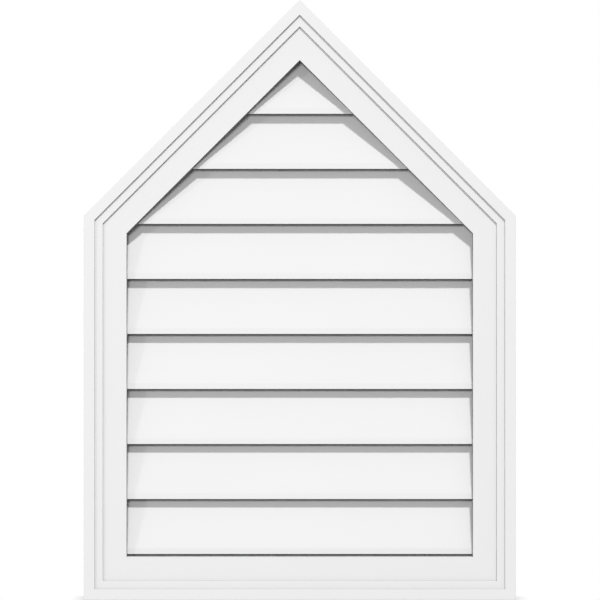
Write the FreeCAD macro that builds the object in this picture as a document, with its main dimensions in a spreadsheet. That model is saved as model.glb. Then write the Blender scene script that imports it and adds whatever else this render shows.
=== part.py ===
import FreeCAD, Part
import math
import os
import re

import Sketcher

# Louvred gable vent with a peaked head: five mitred lengths of stepped moulding round a bank of
# sloping louvres, with an insect screen stapled into a rebate behind them.
#
# X runs to the right, Y into the wall and Z up. The origin is the middle of the sill's lower edge,
# on the wall plane, so everything stands in front of Y = 0.

# Driving sizes, in millimetres and degrees
SIZES = (
    ("overall_width", 508.0, "across the outer faces of the jambs"),
    ("eaves_height", 452.0, "underside of the sill to the outer corners of the eaves"),
    ("roof_angle", 45.0, "slope of the rakes above level"),
    ("moulding_width", 50.0, "face of the moulding, from its outer edge to the opening"),
    ("projection", 38.1, "wall plane to the front of the outer band"),
    ("outer_band", 12.7, "width of the band that stands furthest out"),
    ("middle_band", 9.525, "width of the band between the two steps"),
    ("step_height", 2.8, "drop of the face at each step"),
    ("arris_radius", 0.4, "easing of the moulding's long front edges"),
    ("rebate_width", 16.0, "screen rebate, outward from the opening"),
    ("rebate_depth", 2.0, "screen rebate, forward from the wall plane"),
    ("louvre_pitch", 65.0, "height from one louvre to the next, before they are spread evenly"),
    ("louvre_thickness", 6.0, "square across the board"),
    ("louvre_tilt", 12.5, "lean of the boards away from upright"),
    ("louvre_recess", 8.8, "inner band of the moulding to the louvre noses"),
    ("louvre_overlap", 5.5, "height that each louvre runs up behind the next"),
    ("nose_height", 7.0, "steeper strip along the front edge of a louvre"),
    ("nose_lean", 6.5, "lean of that strip away from upright"),
    ("nose_radius", 0.4, "easing of the lower front edge of a louvre"),
    ("sill_gap", 2.4, "sill to the lowest louvre"),
    ("top_louvre", 62.7, "foot of the highest louvre to the peak of the opening"),
    ("rain_bar_height", 12.0, "rise of the bar that lies on the sill behind the lowest louvre"),
    ("rain_bar_thickness", 5.0, "front to back"),
    ("rain_bar_gap", 1.2, "back of the lowest louvre to the upper edge of the bar"),
    ("housing_depth", 8.0, "how far the louvre ends enter the moulding"),
    ("housing_clearance", 0.15, "room round a louvre end in its housing"),
    ("screen_thickness", 0.6, "over the wires of the mesh"),
    ("screen_margin", 1.0, "edge of the screen to the wall of its rebate"),
    ("staple_inset", 12.0, "opening to the line of staples"),
    ("staple_spacing", 110.0, "from one staple to the next along a member"),
    ("staple_crown", 10.0, "length of the crown over the legs"),
    ("staple_leg", 6.0, "reach of the legs below the crown"),
    ("staple_wire", 0.7, "thickness of the flat wire"),
    ("staple_width", 1.2, "width of the flat wire"),
)

# Sizes that follow from the driving ones. A mitre is the run lost for each millimetre of width.
DERIVED = (
    ("peak_height", "eaves_height + overall_width / 2 * tan(roof_angle)"),
    ("rake_length", "overall_width / 2 / cos(roof_angle)"),
    ("sill_mitre", "tan(45)"),
    ("eaves_mitre", "tan(45 - roof_angle / 2)"),
    ("peak_mitre", "tan(roof_angle)"),
    ("nose_plane", "projection - 2 * step_height - louvre_recess"),
    ("lowest_foot", "moulding_width + sill_gap"),
    ("highest_foot", "peak_height - moulding_width / cos(roof_angle) - top_louvre"),
    ("louvre_gaps", "round((highest_foot - lowest_foot) / louvre_pitch)"),
    ("louvre_spacing", "(highest_foot - lowest_foot) / louvre_gaps"),
    ("louvre_rise", "louvre_spacing + louvre_overlap"),
    ("level_thickness", "louvre_thickness / cos(louvre_tilt)"),
    ("nose_tangent", "nose_radius * tan(45 + nose_lean / 2)"),
    ("face_plane", "nose_plane - nose_height * tan(nose_lean)"),
    ("rain_bar_front", "face_plane - level_thickness - rain_bar_gap"
                       " - (rain_bar_height - sill_gap - nose_height) * tan(louvre_tilt)"),
    ("screen_back", "rebate_depth - screen_thickness"),
    ("staple_line", "moulding_width - staple_inset"),
)

# Section of the moulding: each corner's depth in front of the wall, then its distance in from the outer edge
MOULDING_SECTION = {
    "outer_back": ("0", "0"),
    "outer_arris": ("-projection", "0"),
    "first_step_arris": ("-projection", "outer_band"),
    "first_step_foot": ("step_height - projection", "outer_band"),
    "second_step_arris": ("step_height - projection", "outer_band + middle_band"),
    "second_step_foot": ("2 * step_height - projection", "outer_band + middle_band"),
    "opening_arris": ("2 * step_height - projection", "moulding_width"),
    "opening_back": ("-rebate_depth", "moulding_width"),
    "rebate_corner": ("-rebate_depth", "moulding_width - rebate_width"),
    "rebate_back": ("0", "moulding_width - rebate_width"),
}
EASED_ARRISES = ("outer_arris", "first_step_arris", "second_step_arris", "opening_arris")

# Lengths of moulding, anticlockwise from the lower left corner:
# label, outer corner (X, Z), heading, length, mitre at the start, mitre at the end
MEMBERS = (
    ("sill", "-overall_width / 2", "0", "0", "overall_width", "sill_mitre", "sill_mitre"),
    ("right_jamb", "overall_width / 2", "0", "90", "eaves_height", "sill_mitre", "eaves_mitre"),
    ("right_rake", "overall_width / 2", "eaves_height", "180 - roof_angle", "rake_length",
     "eaves_mitre", "peak_mitre"),
    ("left_rake", "0", "peak_height", "180 + roof_angle", "rake_length", "peak_mitre", "eaves_mitre"),
    ("left_jamb", "-overall_width / 2", "eaves_height", "270", "eaves_height", "eaves_mitre", "sill_mitre"),
)

# Planes for sketches that stand outside a body
FRONT_PLANE = FreeCAD.Rotation(FreeCAD.Vector(1, 0, 0), 90)
SIDE_PLANE = FreeCAD.Rotation(FreeCAD.Vector(1, 1, 1), 120)
HEADING_AXIS = FreeCAD.Vector(0, -1, 0)
SAME_PLACE = 1e-6

doc = FreeCAD.newDocument("gable_vent")
sheet = doc.addObject("Spreadsheet::Sheet", "sizes")
ALIASES = {row[0] for row in SIZES} | {row[0] for row in DERIVED}


def fill_sheet():
    """Writes the driving sizes as numbers and the others as formulas, one row each."""
    rows = [(name, str(number), note) for name, number, note in SIZES]
    rows += [(name, "=" + formula, "follows from the driving sizes") for name, formula in DERIVED]
    for row, (name, content, note) in enumerate(rows, start=1):
        sheet.set(f"A{row}", name)
        sheet.set(f"B{row}", content)
        sheet.setAlias(f"B{row}", name)
        sheet.set(f"C{row}", note)
    doc.recompute()


def bound(text):
    """The expression with each size's name pointing at its cell."""
    return re.sub(r"[a-z_]+", lambda word: "sizes." * (word.group() in ALIASES) + word.group(), text)


def value(text):
    """The number that an expression gives now."""
    return float(sheet.evalExpression(bound(text)))


def dimension(sketch, constraint, text):
    """Adds a dimension to a sketch and ties it to an expression."""
    index = sketch.addConstraint(Sketcher.Constraint(*constraint, value(text)))
    sketch.setExpression(f"Constraints[{index}]", bound(text))


def round_edge(start, end, radius):
    """An arc between two points that turns anticlockwise about a centre on its left."""
    chord = end - start
    outward = FreeCAD.Vector(chord.y, -chord.x, 0).normalize()
    bulge = radius - math.sqrt(radius ** 2 - (chord.Length / 2) ** 2)
    return Part.Arc(start, start + chord / 2 + outward * bulge, end)


def outline(sketch, corners, opening_radius=None):
    """Draws a closed outline whose corners, pairs of expressions, are dimensioned from the origin.

    It runs anticlockwise, and its first side is an arc where an opening radius is given.
    """
    points = [FreeCAD.Vector(value(across), value(up), 0) for across, up in corners]
    sides = [Part.LineSegment(start, end) for start, end in zip(points, points[1:] + points[:1])]
    if opening_radius:
        sides[0] = round_edge(points[0], points[1], value(opening_radius))
    first = sketch.GeometryCount
    for side in sides:
        sketch.addGeometry(side, False)
    for here in range(len(sides)):
        there = (here + 1) % len(sides)
        sketch.addConstraint(Sketcher.Constraint("Coincident", first + here, 2, first + there, 1))
    for here, (across, up) in enumerate(corners, start=first):
        dimension(sketch, ("DistanceX", -1, 1, here, 1), across)
        dimension(sketch, ("DistanceY", -1, 1, here, 1), up)
    if opening_radius:
        dimension(sketch, ("Radius", first), opening_radius)


def body_sketch(body, name, role):
    """A sketch on one of the body's own origin planes."""
    sketch = body.newObject("Sketcher::SketchObject", name)
    plane = next(feature for feature in body.Origin.OriginFeatures if feature.Role == role)
    sketch.AttachmentSupport = [(plane, "")]
    sketch.MapMode = "FlatFace"
    return sketch


def place_member(body, corner_x, corner_z, heading):
    """Puts a member's body at its outer corner, turned to its heading in the front view."""
    body.Placement.Rotation = FreeCAD.Rotation(HEADING_AXIS, value(heading))
    body.setExpression("Placement.Base.x", bound(corner_x))
    body.setExpression("Placement.Base.z", bound(corner_z))
    body.setExpression("Placement.Rotation.Angle", bound(heading))


def arris_names(shape):
    """The long edges of a moulding blank that run through the front arrises of its section."""
    corners = [MOULDING_SECTION[name] for name in EASED_ARRISES]
    points = [(value(depth), value(inward)) for depth, inward in corners]
    names = []
    for number, edge in enumerate(shape.Edges, start=1):
        ends = [(vertex.Y, vertex.Z) for vertex in edge.Vertexes]
        if any(all(math.dist(end, point) < SAME_PLACE for end in ends) for point in points):
            names.append(f"Edge{number}")
    return names


def moulding_length(label, corner_x, corner_z, heading, length, start_mitre, end_mitre):
    """One length of moulding: the section run out, its front arrises eased, its ends sawn to mitres."""
    body = doc.addObject("PartDesign::Body", label + "_blank")
    section = body_sketch(body, label + "_section", "YZ_Plane")
    outline(section, MOULDING_SECTION.values())
    run = body.newObject("PartDesign::Pad", label + "_run")
    run.Profile = section
    run.setExpression("Length", bound(length))
    doc.recompute()
    eased = body.newObject("PartDesign::Fillet", label + "_arrises")
    eased.Base = (run, arris_names(run.Shape))
    eased.setExpression("Radius", bound("arris_radius"))
    waste = body_sketch(body, label + "_mitres", "XZ_Plane")
    outline(waste, (("0", "0"), (f"{start_mitre} * moulding_width", "moulding_width"),
                    ("0", "moulding_width")))
    outline(waste, ((length, "0"), (length, "moulding_width"),
                    (f"{length} - {end_mitre} * moulding_width", "moulding_width")))
    saw = body.newObject("PartDesign::Pocket", label + "_saw_cuts")
    saw.Profile = waste
    saw.Type = "ThroughAll"
    saw.SideType = "Symmetric"
    place_member(body, corner_x, corner_z, heading)
    return body


def staple_row(label, corner_x, corner_z, heading, length, start_mitre, end_mitre):
    """The staples along one member, as many as its staple line holds, centred on that line."""
    line_start = f"{start_mitre} * staple_line"
    line_end = f"({length} - {end_mitre} * staple_line)"
    gaps = math.floor(value(f"({line_end} - {line_start} - staple_crown) / staple_spacing"))
    middle = f"({line_start} + {line_end}) / 2 - {gaps} / 2 * staple_spacing"
    left, right = f"{middle} - staple_crown / 2", f"{middle} + staple_crown / 2"
    body = doc.addObject("PartDesign::Body", label + "_staples")
    body.AllowCompound = True
    shape = body_sketch(body, label + "_staple_shape", "XY_Plane")
    shape.setExpression("AttachmentOffset.Base.z", bound("staple_line"))
    outline(shape, (
        (left, "staple_wire - screen_back"),
        (left, "-screen_back - staple_leg"),
        (f"{left} + staple_wire", "-screen_back - staple_leg"),
        (f"{left} + staple_wire", "-screen_back"),
        (f"{right} - staple_wire", "-screen_back"),
        (f"{right} - staple_wire", "-screen_back - staple_leg"),
        (right, "-screen_back - staple_leg"),
        (right, "staple_wire - screen_back"),
    ))
    wire = body.newObject("PartDesign::Pad", label + "_staple")
    wire.Profile = shape
    wire.SideType = "Symmetric"
    wire.setExpression("Length", bound("staple_width"))
    doc.recompute()
    row = body.newObject("PartDesign::LinearPattern", label + "_staple_row")
    row.Originals = [wire]
    row.Direction = (shape, ["H_Axis"])
    row.setExpression("Length", bound(f"{gaps} * staple_spacing"))
    row.Occurrences = gaps + 1
    body.Tip = row
    place_member(body, corner_x, corner_z, heading)
    return body


def loose_sketch(name, plane, depth="0"):
    """A sketch outside any body, on the front plane or the side plane."""
    sketch = doc.addObject("Sketcher::SketchObject", name)
    sketch.Placement.Rotation = plane
    sketch.setExpression("Placement.Base.y", bound(depth))
    return sketch


def extrusion(name, sketch, length, symmetric=False, reverse=False):
    """The sketch run out along its normal."""
    solid = doc.addObject("Part::Extrusion", name)
    solid.Base = sketch
    solid.DirMode = "Normal"
    solid.Solid = True
    solid.Symmetric = symmetric
    solid.Reversed = reverse
    solid.setExpression("LengthFwd", bound(length))
    return solid


def house_outline(inset):
    """The peaked outline of the vent, drawn in by an inset on every side."""
    right, foot = f"overall_width / 2 - ({inset})", inset
    eaves = f"eaves_height - ({inset}) * eaves_mitre"
    peak = f"peak_height - ({inset}) / cos(roof_angle)"
    left = f"({inset}) - overall_width / 2"
    return ((left, foot), (right, foot), (right, eaves), ("0", peak), (left, eaves))


def house_prism(name, inset):
    """A block of the peaked outline that runs through the depth of the vent."""
    sketch = loose_sketch(name + "_outline", FRONT_PLANE)
    outline(sketch, house_outline(inset))
    return extrusion(name, sketch, "projection")


def louvre_section(number, growth):
    """Section of a louvre, grown on every side: a leaning board with level edges and a steeper nose."""
    foot = f"lowest_foot + {number - 1} * louvre_spacing"
    front = f"({growth}) / cos(louvre_tilt)"
    low = f"-({growth}) - nose_height"
    high = f"louvre_rise + ({growth}) - nose_height"
    brow = f"({growth}) * sin((louvre_tilt + nose_lean) / 2) / cos((louvre_tilt - nose_lean) / 2)"
    return (
        (f"-nose_plane - ({growth}) * (tan(nose_lean) + 1 / cos(nose_lean))", f"{foot} - ({growth})"),
        (f"-face_plane + ({low}) * tan(louvre_tilt) + level_thickness + {front}", f"{foot} - ({growth})"),
        (f"-face_plane + ({high}) * tan(louvre_tilt) + level_thickness + {front}",
         f"{foot} + louvre_rise + ({growth})"),
        (f"-face_plane + ({high}) * tan(louvre_tilt) - {front}", f"{foot} + louvre_rise + ({growth})"),
        (f"-face_plane + {brow} * tan(louvre_tilt) - {front}", f"{foot} + nose_height + {brow}"),
    )


def eased_louvre(number):
    """Section of a louvre with a rounded edge, its first side, under the nose."""
    (depth, height), *others = louvre_section(number, "0")
    above = (f"{depth} + nose_tangent * sin(nose_lean)", f"{height} + nose_tangent * cos(nose_lean)")
    behind = (f"{depth} + nose_tangent", height)
    return above, behind, *others


def make_louvres(count):
    """The louvres, each trimmed parallel to the jambs and rakes that house its ends."""
    seat = house_prism("louvre_trim", "moulding_width - housing_depth")
    louvres = []
    for number in range(1, count + 1):
        section = loose_sketch(f"louvre_{number}_section", SIDE_PLANE)
        outline(section, eased_louvre(number), "nose_radius")
        board = extrusion(f"louvre_{number}_board", section, "overall_width", symmetric=True)
        louvre = doc.addObject("Part::Common", f"louvre_{number}")
        louvre.Base = board
        louvre.Tool = seat
        louvres.append(louvre)
    return louvres


def make_rain_bar():
    """The bar between the jambs that stops rain from driving in under the lowest louvre."""
    front, back = "-rain_bar_front", "rain_bar_thickness - rain_bar_front"
    foot, top = "moulding_width", "moulding_width + rain_bar_height"
    section = loose_sketch("rain_bar_section", SIDE_PLANE)
    outline(section, ((front, foot), (back, foot), (back, top), (front, top)))
    return extrusion("rain_bar", section, "overall_width - 2 * moulding_width", symmetric=True)


def make_housings(count):
    """The blind grooves for the louvre ends, all in one cutter."""
    sections = loose_sketch("housing_sections", SIDE_PLANE)
    for number in range(1, count + 1):
        outline(sections, louvre_section(number, "housing_clearance"))
    grooves = extrusion("housing_grooves", sections, "overall_width", symmetric=True)
    housings = doc.addObject("Part::Common", "housings")
    housings.Base = grooves
    housings.Tool = house_prism("housing_reach", "moulding_width - housing_depth - housing_clearance")
    return housings


def cut_away(label, base, tools):
    """The base with the room for other pieces taken out."""
    group = doc.addObject("Part::Compound", label + "_room")
    group.Links = tools
    cut = doc.addObject("Part::Cut", label)
    cut.Base = base
    cut.Tool = group
    return cut


def make_screen(staples):
    """The insect screen, on the floor of its rebate and pierced by the staples."""
    sketch = loose_sketch("screen_outline", FRONT_PLANE, "-rebate_depth")
    outline(sketch, house_outline("moulding_width - rebate_width + screen_margin"))
    sheet_of_mesh = extrusion("screen_sheet", sketch, "screen_thickness", reverse=True)
    return cut_away("insect_screen", sheet_of_mesh, staples)


def build():
    """Makes every piece of the vent and returns them by name."""
    fill_sheet()
    count = 1 + round(value("louvre_gaps"))
    louvres = make_louvres(count)
    housings = make_housings(count)
    rows = [staple_row(*member) for member in MEMBERS]
    members = [cut_away(member[0], moulding_length(*member), [housings, row])
               for member, row in zip(MEMBERS, rows)]
    rain_bar = make_rain_bar()
    screen = make_screen(rows)
    staples = doc.addObject("Part::Compound", "screen_staples")
    staples.Links = rows
    doc.recompute()
    return {piece.Label: piece for piece in members + louvres + [rain_bar, screen, staples]}


def check(pieces):
    """Stops if any object of the document failed, or a piece isn't a sound solid."""
    for thing in doc.Objects:
        if {"Invalid", "Error"} & set(thing.State):
            raise RuntimeError(f"{thing.Label} failed to build")
    for label, piece in pieces.items():
        if piece.Shape.isNull() or not piece.Shape.isValid() or not piece.Shape.Solids:
            raise RuntimeError(f"{label} is not a sound solid")


def export(pieces):
    """Writes one file for each piece."""
    os.makedirs("parts", exist_ok=True)
    for label, piece in pieces.items():
        piece.Shape.exportStep(f"parts/{label}.step")


vent = build()
check(vent)
export(vent)
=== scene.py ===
"""Finishes a peaked, louvred gable vent of white PVC and sets a plain studio stage round it."""

import math

import bmesh
import bpy
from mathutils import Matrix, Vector


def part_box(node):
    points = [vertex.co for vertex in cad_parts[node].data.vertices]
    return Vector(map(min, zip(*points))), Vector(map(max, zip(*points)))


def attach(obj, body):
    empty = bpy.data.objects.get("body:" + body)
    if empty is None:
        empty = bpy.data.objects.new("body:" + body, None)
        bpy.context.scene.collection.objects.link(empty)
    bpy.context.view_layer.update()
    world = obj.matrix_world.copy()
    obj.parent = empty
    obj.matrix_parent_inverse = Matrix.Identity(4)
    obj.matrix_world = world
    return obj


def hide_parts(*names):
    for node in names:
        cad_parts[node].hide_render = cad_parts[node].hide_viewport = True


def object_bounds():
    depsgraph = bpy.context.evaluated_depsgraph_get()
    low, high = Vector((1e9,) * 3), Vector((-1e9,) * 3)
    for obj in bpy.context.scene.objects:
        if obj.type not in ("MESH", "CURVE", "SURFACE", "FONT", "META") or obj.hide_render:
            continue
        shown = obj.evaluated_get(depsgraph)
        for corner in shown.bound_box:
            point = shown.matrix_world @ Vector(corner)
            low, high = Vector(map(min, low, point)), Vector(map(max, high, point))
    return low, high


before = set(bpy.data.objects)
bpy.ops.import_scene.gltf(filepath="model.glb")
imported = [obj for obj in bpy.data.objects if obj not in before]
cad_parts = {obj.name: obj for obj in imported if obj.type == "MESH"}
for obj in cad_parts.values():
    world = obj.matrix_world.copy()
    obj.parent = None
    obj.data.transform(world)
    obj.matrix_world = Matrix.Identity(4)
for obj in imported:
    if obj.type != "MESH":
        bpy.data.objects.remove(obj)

bl_info = {
    "name": "Gable vent",
    "version": (1, 0, 0),
    "blender": (4, 5, 0),
    "location": "View3D > Sidebar > Gable vent",
    "description": "Finishes a louvred gable vent and sets a plain stage round it",
    "category": "Object",
}

CAD_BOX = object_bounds()

# Louvres, and the angle at which each length of the frame runs down to the right, seen from the front
LOUVRE_NAMES = sorted(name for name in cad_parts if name.startswith("louvre_"))
LEVEL = 0.0
UPRIGHT = math.radians(90)
PITCHED = math.radians(45)
FRAME_RUNS = {
    "sill": LEVEL,
    "left_jamb": UPRIGHT,
    "right_jamb": UPRIGHT,
    "left_rake": -PITCHED,
    "right_rake": PITCHED,
    "rain_bar": LEVEL,
}

# How finely each kind of noise breaks up
PORE_DETAIL = 2.0
LINE_DETAIL = 3.0
CLOUD_DETAIL = 4.0

# Sockets of a Mix node that blends colours
MIX_SHARE = 0
MIX_LOW = 6
MIX_HIGH = 7
MIX_COLOUR = 2

# Plain colours
BLACK = (0, 0, 0, 1)
WHITE = (1, 1, 1, 1)

# Layers of wire in the screen's thickness, and the turn of a wire, in flats, that lets a flat face out
WIRE_LAYERS = 2
WIRE_TURN = 0.5

# Fineness of the floor and of its shade
FLOOR_SIDES = 96
SHADE_SAMPLES = 16

# Tilt of a camera that looks level, and its reach in distances to the vent
LEVEL_VIEW = math.radians(90)
VIEW_REACH = 10


# Sizes and colours that a user would change

class PvcFinish(bpy.types.PropertyGroup):
    """White cellular PVC, drawn in lengths."""

    frame_white: bpy.props.FloatVectorProperty(
        name="Frame white", description="Colour of the mouldings where they are brightest",
        subtype="COLOR", size=4, min=0, max=1, default=(0.855, 0.855, 0.855, 1))
    # Darker than the frame's white: painted shade for the softer light on the recessed louvres
    louvre_shaded_white: bpy.props.FloatVectorProperty(
        name="Louvre white", description="Colour of the louvres where they are brightest",
        subtype="COLOR", size=4, min=0, max=1, default=(0.825, 0.825, 0.825, 1))
    dulling: bpy.props.FloatProperty(
        name="Dulling", description="Brightness that is left in the faint clouds of the PVC",
        subtype="FACTOR", min=0, max=1, default=0.98)
    cloud_size: bpy.props.FloatProperty(
        name="Cloud size", description="Width of the faint clouds", unit="LENGTH", default=0.11)
    line_spacing: bpy.props.FloatProperty(
        name="Draw line spacing",
        description="Distance between the fine lines that the die draws along a length",
        unit="LENGTH", default=0.0016)
    line_length: bpy.props.FloatProperty(
        name="Draw line length", description="Distance over which one draw line fades",
        unit="LENGTH", default=0.35)
    line_height: bpy.props.FloatProperty(
        name="Draw line height", description="Relief of the draw lines", unit="LENGTH", default=0.00005)
    pore_size: bpy.props.FloatProperty(
        name="Pore size", description="Width of the pores in the skin", unit="LENGTH", default=0.0007)
    pore_height: bpy.props.FloatProperty(
        name="Pore height", description="Relief of the pores", unit="LENGTH", default=0.00002)
    roughness: bpy.props.FloatProperty(
        name="Roughness", description="Lowest roughness of the skin",
        subtype="FACTOR", min=0, max=1, default=0.62)
    roughness_spread: bpy.props.FloatProperty(
        name="Roughness spread", description="How much rougher the skin is in places",
        subtype="FACTOR", min=0, max=1, default=0.16)


class ScreenSizes(bpy.types.PropertyGroup):
    """Insect screen of fine aluminium wire."""

    pitch: bpy.props.FloatProperty(
        name="Pitch", description="Distance from one wire to the next", unit="LENGTH", default=0.0016)
    roof_angle: bpy.props.FloatProperty(
        name="Roof angle", description="Slope of the screen's upper edges", unit="ROTATION", default=PITCHED)
    facets: bpy.props.IntProperty(
        name="Facets", description="Flats round one wire", min=3, default=6)
    bright: bpy.props.FloatVectorProperty(
        name="Bright wire", description="Colour of the clean wire",
        subtype="COLOR", size=4, min=0, max=1, default=(0.62, 0.63, 0.64, 1))
    tarnish: bpy.props.FloatVectorProperty(
        name="Tarnished wire", description="Colour of the wire where its oxide is thicker",
        subtype="COLOR", size=4, min=0, max=1, default=(0.44, 0.45, 0.46, 1))
    tarnish_size: bpy.props.FloatProperty(
        name="Tarnish size", description="Width of the tarnished patches", unit="LENGTH", default=0.03)
    roughness: bpy.props.FloatProperty(
        name="Roughness", description="Roughness of the clean wire",
        subtype="FACTOR", min=0, max=1, default=0.35)
    roughness_spread: bpy.props.FloatProperty(
        name="Roughness spread", description="How much rougher the tarnished wire is",
        subtype="FACTOR", min=0, max=1, default=0.25)


class StapleFinish(bpy.types.PropertyGroup):
    """Zinc-coated staple wire."""

    zinc: bpy.props.FloatVectorProperty(
        name="Zinc", description="Colour of the zinc coat",
        subtype="COLOR", size=4, min=0, max=1, default=(0.66, 0.67, 0.68, 1))
    spangle: bpy.props.FloatVectorProperty(
        name="Spangle", description="Colour of the coat's darker crystals",
        subtype="COLOR", size=4, min=0, max=1, default=(0.52, 0.53, 0.55, 1))
    spangle_size: bpy.props.FloatProperty(
        name="Spangle size", description="Width of the coat's crystals", unit="LENGTH", default=0.0015)
    roughness: bpy.props.FloatProperty(
        name="Roughness", description="Roughness at the middle of a crystal",
        subtype="FACTOR", min=0, max=1, default=0.28)
    roughness_spread: bpy.props.FloatProperty(
        name="Roughness spread", description="How much rougher the coat is between crystals",
        subtype="FACTOR", min=0, max=1, default=0.2)


class StageSizes(bpy.types.PropertyGroup):
    """Floor, lights and camera. A light's direction points from the vent to the light."""

    floor_radius: bpy.props.FloatProperty(
        name="Floor radius", description="Radius of the round floor", unit="LENGTH", default=3.0)
    floor_white: bpy.props.FloatVectorProperty(
        name="Floor white", description="Colour of the lit floor",
        subtype="COLOR", size=4, min=0, max=1, default=WHITE)
    # Painted shade on the glowing floor near the vent, and how far it reaches
    floor_shade: bpy.props.FloatVectorProperty(
        name="Floor shade", description="Colour of the floor where the vent stands close over it",
        subtype="COLOR", size=4, min=0, max=1, default=(0.55, 0.55, 0.56, 1))
    shade_reach: bpy.props.FloatProperty(
        name="Shade reach", description="Distance over which the vent shades the floor",
        unit="LENGTH", default=0.018)
    focal_length: bpy.props.FloatProperty(
        name="Focal length", description="Focal length of the long lens", unit="CAMERA", default=153)
    field: bpy.props.FloatProperty(
        name="Field", description="Height of what the camera sees at the front of the vent",
        unit="LENGTH", default=0.7055)
    camera_aside: bpy.props.FloatProperty(
        name="Camera aside", description="How far the camera stands to the right of the vent's middle",
        unit="LENGTH", default=0.00026)
    key: bpy.props.FloatProperty(
        name="Key light", description="Strength of the high light that casts the louvres' shadows",
        default=1.9)
    key_direction: bpy.props.FloatVectorProperty(
        name="Key direction", description="Where the key light stands",
        subtype="DIRECTION", default=(0.141, -1, 0.98))
    key_spread: bpy.props.FloatProperty(
        name="Key spread", description="Width of the key light, seen from the vent",
        unit="ROTATION", default=math.radians(4))
    front_fill: bpy.props.FloatProperty(
        name="Front fill", description="Power of the round light beside the camera",
        unit="POWER", default=28.8)
    front_direction: bpy.props.FloatVectorProperty(
        name="Front direction", description="Where the round light stands",
        subtype="DIRECTION", default=(-0.13, -1, 0.19))
    front_distance: bpy.props.FloatProperty(
        name="Front distance", description="Distance of the round light from the middle of the vent",
        unit="LENGTH", default=3.0)
    front_width: bpy.props.FloatProperty(
        name="Front width", description="Width of the round light", unit="LENGTH", default=0.63)
    side_fill: bpy.props.FloatProperty(
        name="Side fill", description="Strength of the low light from the left", default=0.28)
    side_direction: bpy.props.FloatVectorProperty(
        name="Side direction", description="Where the low light stands",
        subtype="DIRECTION", default=(-1.07, -1, 0.22))
    side_spread: bpy.props.FloatProperty(
        name="Side spread", description="Width of the low light, seen from the vent",
        unit="ROTATION", default=math.radians(6))
    rear_fill: bpy.props.FloatProperty(
        name="Rear fill", description="Strength of each of the two lights behind the vent", default=1.6)
    rear_direction: bpy.props.FloatVectorProperty(
        name="Rear direction", description="Where the right one of the two lights behind the vent stands",
        subtype="DIRECTION", default=(0.9, 1, 0.25))
    rear_spread: bpy.props.FloatProperty(
        name="Rear spread", description="Width of each light behind the vent, seen from there",
        unit="ROTATION", default=math.radians(20))
    ambient: bpy.props.FloatProperty(
        name="Ambient", description="Strength of the even light of the room", default=0.22)
    bounces: bpy.props.IntProperty(
        name="Bounces", description="Times that light bounces between white faces", min=0, default=0)


# Materials

class Socket:
    """One output of a node tree, on which arithmetic adds Math nodes."""

    def __init__(self, tree, output=None):
        self.tree = tree
        self.output = output

    def node(self, kind, settings=None, inputs=None, output=0):
        """Adds a node of this kind, first its settings and then its sockets' values or links."""
        node = self.tree.nodes.new(kind)
        for name, setting in (settings or {}).items():
            setattr(node, name, setting)
        for name, value in (inputs or {}).items():
            if isinstance(value, Socket):
                self.tree.links.new(value.output, node.inputs[name])
            else:
                node.inputs[name].default_value = value
        return Socket(self.tree, node.outputs[output] if node.outputs else None)

    def math(self, operation, first, second):
        """Adds a Math node with these two inputs."""
        return self.node("ShaderNodeMath", {"operation": operation}, {0: first, 1: second})

    def __add__(self, other):
        return self.math("ADD", self, other)

    def __radd__(self, other):
        return self.math("ADD", other, self)

    def __mul__(self, other):
        return self.math("MULTIPLY", self, other)

    def __rmul__(self, other):
        return self.math("MULTIPLY", other, self)

    def blend(self, low, high):
        """Mixes two colours by this value."""
        colour_sockets = {MIX_SHARE: self, MIX_LOW: low, MIX_HIGH: high}
        return self.node("ShaderNodeMix", {"data_type": "RGBA"}, colour_sockets, output=MIX_COLOUR)


def new_finish(name):
    """A material with an empty node tree, and a socket to start its nodes from."""
    material = bpy.data.materials.new(name)
    material.use_nodes = True
    material.node_tree.nodes.clear()
    return material, Socket(material.node_tree)


def close_finish(start, shader_inputs):
    """Ends a material with one shader."""
    shader = start.node("ShaderNodeBsdfPrincipled", None, shader_inputs)
    start.node("ShaderNodeOutputMaterial", None, {"Surface": shader})


def place_in_object(start):
    """Position on the vent, in metres."""
    return start.node("ShaderNodeTexCoord", output="Object")


def speckle(start, place, size, detail):
    """Cloudy noise with features of about this size."""
    return start.node("ShaderNodeTexNoise", None, {"Vector": place, "Scale": 1 / size, "Detail": detail})


def draw_lines(start, place, sizes, run):
    """Noise drawn out into fine lines along a run."""
    along = start.node("ShaderNodeMapping", {"vector_type": "TEXTURE"}, {
        "Vector": place,
        "Rotation": (0, run, 0),
        "Scale": (sizes.line_length, sizes.line_spacing, sizes.line_spacing),
    })
    return start.node("ShaderNodeTexNoise", None, {"Vector": along, "Scale": 1.0, "Detail": LINE_DETAIL})


def pvc_material(name, white, sizes, run):
    """White PVC with faint clouds, draw lines along the run of the piece, and fine pores."""
    material, start = new_finish(name)
    place = place_in_object(start)
    lines = draw_lines(start, place, sizes, run)
    clouds = speckle(start, place, sizes.cloud_size, CLOUD_DETAIL)
    pores = speckle(start, place, sizes.pore_size, PORE_DETAIL)
    red, green, blue, alpha = white
    dull = (red * sizes.dulling, green * sizes.dulling, blue * sizes.dulling, alpha)
    relief = sizes.line_height * lines + sizes.pore_height * pores
    close_finish(start, {
        "Base Color": clouds.blend(tuple(white), dull),
        "Roughness": sizes.roughness + sizes.roughness_spread / 2 * (clouds + lines),
        "Normal": start.node("ShaderNodeBump", None, {"Height": relief, "Distance": 1.0, "Strength": 1.0}),
    })
    return material


def wire_material(name, sizes):
    """Aluminium wire, duller where its oxide is thicker."""
    material, start = new_finish(name)
    tarnish = speckle(start, place_in_object(start), sizes.tarnish_size, CLOUD_DETAIL)
    close_finish(start, {
        "Base Color": tarnish.blend(tuple(sizes.bright), tuple(sizes.tarnish)),
        "Roughness": sizes.roughness + sizes.roughness_spread * tarnish,
        "Metallic": 1.0,
    })
    return material


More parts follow.
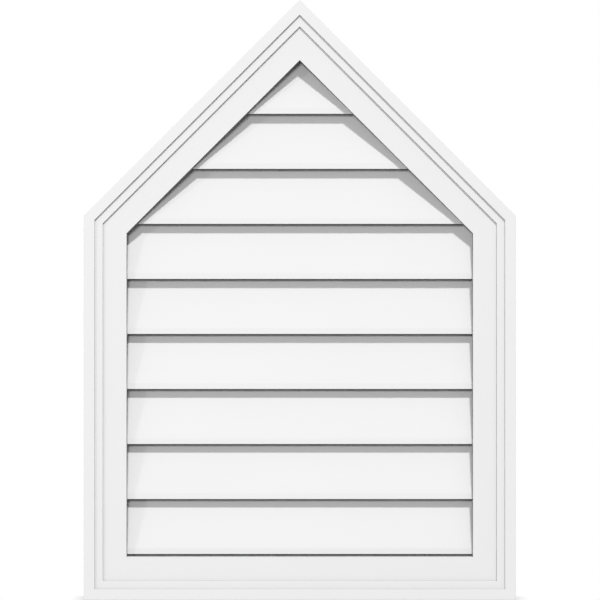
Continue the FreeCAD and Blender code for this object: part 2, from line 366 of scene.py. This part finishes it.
def zinc_material(name, sizes):
    """Bright zinc with small darker crystals."""
    material, start = new_finish(name)
    place = place_in_object(start)
    crystals = start.node(
        "ShaderNodeTexVoronoi", None, {"Vector": place, "Scale": 1 / sizes.spangle_size}, output="Distance")
    close_finish(start, {
        "Base Color": crystals.blend(tuple(sizes.zinc), tuple(sizes.spangle)),
        "Roughness": sizes.roughness + sizes.roughness_spread * crystals,
        "Metallic": 1.0,
    })
    return material


def floor_material(name, sizes):
    """A white floor that glows evenly, with painted shade where the vent stands close over it."""
    material, start = new_finish(name)
    # Painted shade: an occlusion mask blends the glow towards the shade colour near the vent
    openness = start.node(
        "ShaderNodeAmbientOcclusion", {"samples": SHADE_SAMPLES}, {"Distance": sizes.shade_reach},
        output="AO")
    close_finish(start, {
        "Base Color": BLACK,
        "Specular IOR Level": 0.0,
        "Emission Color": openness.blend(tuple(sizes.floor_shade), tuple(sizes.floor_white)),
        "Emission Strength": 1.0,
    })
    return material


def wear(node, material):
    """Gives one CAD piece its finish."""
    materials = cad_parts[node].data.materials
    materials.clear()
    materials.append(material)


# Meshes

def new_object(name, mesh_maker):
    """An object whose mesh is filled by this maker."""
    mesh = bpy.data.meshes.new(name)
    cage = bmesh.new()
    mesh_maker(cage)
    cage.to_mesh(mesh)
    cage.free()
    piece = bpy.data.objects.new(name, mesh)
    bpy.context.scene.collection.objects.link(piece)
    return piece


def add_wire(cage, start, end, radius, facets):
    """One straight round wire, closed at both ends."""
    along = (end - start).normalized()
    out = Vector((0, 1, 0))
    side = along.cross(out)
    rings = []
    for centre in (start, end):
        ring = []
        for step in range(facets):
            turn = math.tau * (step + WIRE_TURN) / facets
            ring.append(cage.verts.new(centre + radius * (math.cos(turn) * out + math.sin(turn) * side)))
        rings.append(ring)
    first, last = rings
    for step in range(facets):
        after = (step + 1) % facets
        cage.faces.new((first[step], first[after], last[after], last[step]))
    cage.faces.new(first[::-1])
    cage.faces.new(last)


def even_places(low, high, pitch):
    """Places of wires a pitch apart, centred between two ends with half a pitch or more to spare at each."""
    count = int((high - low) / pitch)
    first = (low + high - (count - 1) * pitch) / 2
    return [first + number * pitch for number in range(count)]


# Lights

def add_light(name, kind, direction, strength):
    """A light that shines from this direction."""
    light = bpy.data.lights.new(name, kind)
    light.energy = strength
    lamp = bpy.data.objects.new(name, light)
    lamp.rotation_mode = "QUATERNION"
    lamp.rotation_quaternion = direction.to_track_quat("Z", "Y")
    bpy.context.scene.collection.objects.link(lamp)
    return lamp


def add_sun(name, direction, strength, spread):
    """A distant light, as wide in the sky as this spread."""
    add_light(name, "SUN", direction, strength).data.angle = spread


def add_disc(name, direction, strength, target, distance, width):
    """A round light, aimed at a target from this distance."""
    lamp = add_light(name, "AREA", direction, strength)
    lamp.location = target + distance * direction.normalized()
    lamp.data.shape = "DISK"
    lamp.data.size = width
    lamp.visible_camera = False


# Operators

class VENT_OT_frame_finish(bpy.types.Operator):
    """Gives the mitred mouldings and the rain bar their white PVC, with draw lines along each length"""

    bl_idname = "vent.frame_finish"
    bl_label = "Finish the frame"

    def execute(self, context):
        sizes = context.scene.vent_pvc
        for node, run in FRAME_RUNS.items():
            wear(node, pvc_material(f"{node}_pvc", sizes.frame_white, sizes, run))
        return {"FINISHED"}


class VENT_OT_louvre_finish(bpy.types.Operator):
    """Gives the louvres their white PVC, with draw lines along each blade"""

    bl_idname = "vent.louvre_finish"
    bl_label = "Finish the louvres"

    def execute(self, context):
        sizes = context.scene.vent_pvc
        # Painted shade: the louvres wear a darker copy of the frame's white
        blade = pvc_material("louvre_pvc", sizes.louvre_shaded_white, sizes, LEVEL)
        for node in LOUVRE_NAMES:
            wear(node, blade)
        return {"FINISHED"}


class VENT_OT_insect_screen(bpy.types.Operator):
    """Lays the insect screen's upright and level wires in its sheet's place"""

    bl_idname = "vent.insect_screen"
    bl_label = "Lay the insect screen"

    def execute(self, context):
        sizes = context.scene.vent_screen
        low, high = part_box("insect_screen")
        slope = math.tan(sizes.roof_angle)
        radius = (high.y - low.y) / WIRE_LAYERS / 2
        upright_plane = low.y + radius
        level_plane = high.y - radius

        def wires(cage):
            for x in even_places(low.x, high.x, sizes.pitch):
                top = high.z - abs(x) * slope
                ends = (Vector((x, upright_plane, low.z)), Vector((x, upright_plane, top)))
                add_wire(cage, *ends, radius, sizes.facets)
            for z in even_places(low.z, high.z, sizes.pitch):
                reach = min(high.x, (high.z - z) / slope)
                ends = (Vector((-reach, level_plane, z)), Vector((reach, level_plane, z)))
                add_wire(cage, *ends, radius, sizes.facets)

        screen = new_object("insect_screen_wires", wires)
        screen.data.materials.append(wire_material("screen_aluminium", sizes))
        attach(screen, "root")
        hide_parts("insect_screen")
        return {"FINISHED"}


class VENT_OT_staple_finish(bpy.types.Operator):
    """Gives the staples that hold the screen their zinc coat"""

    bl_idname = "vent.staple_finish"
    bl_label = "Finish the screen staples"

    def execute(self, context):
        wear("screen_staples", zinc_material("staple_zinc", context.scene.vent_staples))
        return {"FINISHED"}


class VENT_OT_stage(bpy.types.Operator):
    """Sets the pale floor, the studio lights and the camera"""

    bl_idname = "vent.stage"
    bl_label = "Set the stage"

    def execute(self, context):
        sizes = context.scene.vent_stage
        self.add_floor(sizes)
        self.add_lights(sizes)
        self.add_room(context.scene, sizes)
        self.add_camera(context.scene, sizes)
        return {"FINISHED"}

    def add_floor(self, sizes):
        """A round floor that only the camera sees, so that it throws no light on the vent."""

        def disc(cage):
            bmesh.ops.create_circle(cage, cap_ends=True, radius=sizes.floor_radius, segments=FLOOR_SIDES)

        floor = new_object("studio_floor", disc)
        floor.data.materials.append(floor_material("floor_paint", sizes))
        floor.visible_diffuse = False
        floor.visible_glossy = False

    def add_lights(self, sizes):
        """A high key light, soft fills from the front and the left, and two lights behind."""
        low, high = CAD_BOX
        middle = (Vector(low) + Vector(high)) / 2
        add_sun("key_light", sizes.key_direction, sizes.key, sizes.key_spread)
        add_disc("front_fill", sizes.front_direction, sizes.front_fill, middle,
                 sizes.front_distance, sizes.front_width)
        add_sun("side_fill", sizes.side_direction, sizes.side_fill, sizes.side_spread)
        for side in (-1, 1):
            direction = sizes.rear_direction * Vector((side, 1, 1))
            add_sun("rear_fill", direction, sizes.rear_fill, sizes.rear_spread)

    def add_room(self, scene, sizes):
        """A room that the camera sees as plain white, its even light, and how light is shown and bounces."""
        room = bpy.data.worlds.new("white_room")
        room.use_nodes = True
        room.node_tree.nodes.clear()
        start = Socket(room.node_tree)
        seen = start.node("ShaderNodeLightPath", output="Is Camera Ray")
        strength = sizes.ambient + (1 - sizes.ambient) * seen
        background = start.node("ShaderNodeBackground", None, {"Color": WHITE, "Strength": strength})
        start.node("ShaderNodeOutputWorld", None, {"Surface": background})
        scene.world = room
        scene.view_settings.view_transform = "Standard"
        scene.cycles.diffuse_bounces = sizes.bounces

    def add_camera(self, scene, sizes):
        """A level camera with a long lens, square to the front."""
        low, high = CAD_BOX
        lens = bpy.data.cameras.new("long_lens")
        lens.lens = sizes.focal_length
        distance = sizes.field * lens.lens / lens.sensor_width
        camera = bpy.data.objects.new("camera", lens)
        across = (low[0] + high[0]) / 2 + sizes.camera_aside
        camera.location = (across, low[1] - distance, low[2] + sizes.field / 2)
        camera.rotation_euler = (LEVEL_VIEW, 0, 0)
        lens.clip_end = VIEW_REACH * distance
        scene.collection.objects.link(camera)
        scene.camera = camera


class VENT_PT_panel(bpy.types.Panel):
    """Lists the steps that finish the vent"""

    bl_idname = "VENT_PT_panel"
    bl_label = "Gable vent"
    bl_space_type = "VIEW_3D"
    bl_region_type = "UI"
    bl_category = "Gable vent"

    def draw(self, context):
        for step in STEPS:
            self.layout.operator(step.bl_idname)


GROUPS = {
    "vent_pvc": PvcFinish,
    "vent_screen": ScreenSizes,
    "vent_staples": StapleFinish,
    "vent_stage": StageSizes,
}
STEPS = (
    VENT_OT_frame_finish,
    VENT_OT_louvre_finish,
    VENT_OT_insect_screen,
    VENT_OT_staple_finish,
    VENT_OT_stage,
)


def register():
    for name, group in GROUPS.items():
        bpy.utils.register_class(group)
        setattr(bpy.types.Scene, name, bpy.props.PointerProperty(type=group))
    for step in STEPS:
        bpy.utils.register_class(step)
    bpy.utils.register_class(VENT_PT_panel)


def unregister():
    bpy.utils.unregister_class(VENT_PT_panel)
    for step in reversed(STEPS):
        bpy.utils.unregister_class(step)
    for name, group in reversed(GROUPS.items()):
        delattr(bpy.types.Scene, name)
        bpy.utils.unregister_class(group)


def main():
    register()
    bpy.ops.vent.frame_finish()
    bpy.ops.vent.louvre_finish()
    bpy.ops.vent.insect_screen()
    bpy.ops.vent.staple_finish()
    bpy.ops.vent.stage()


if __name__ == "__main__":
    main()
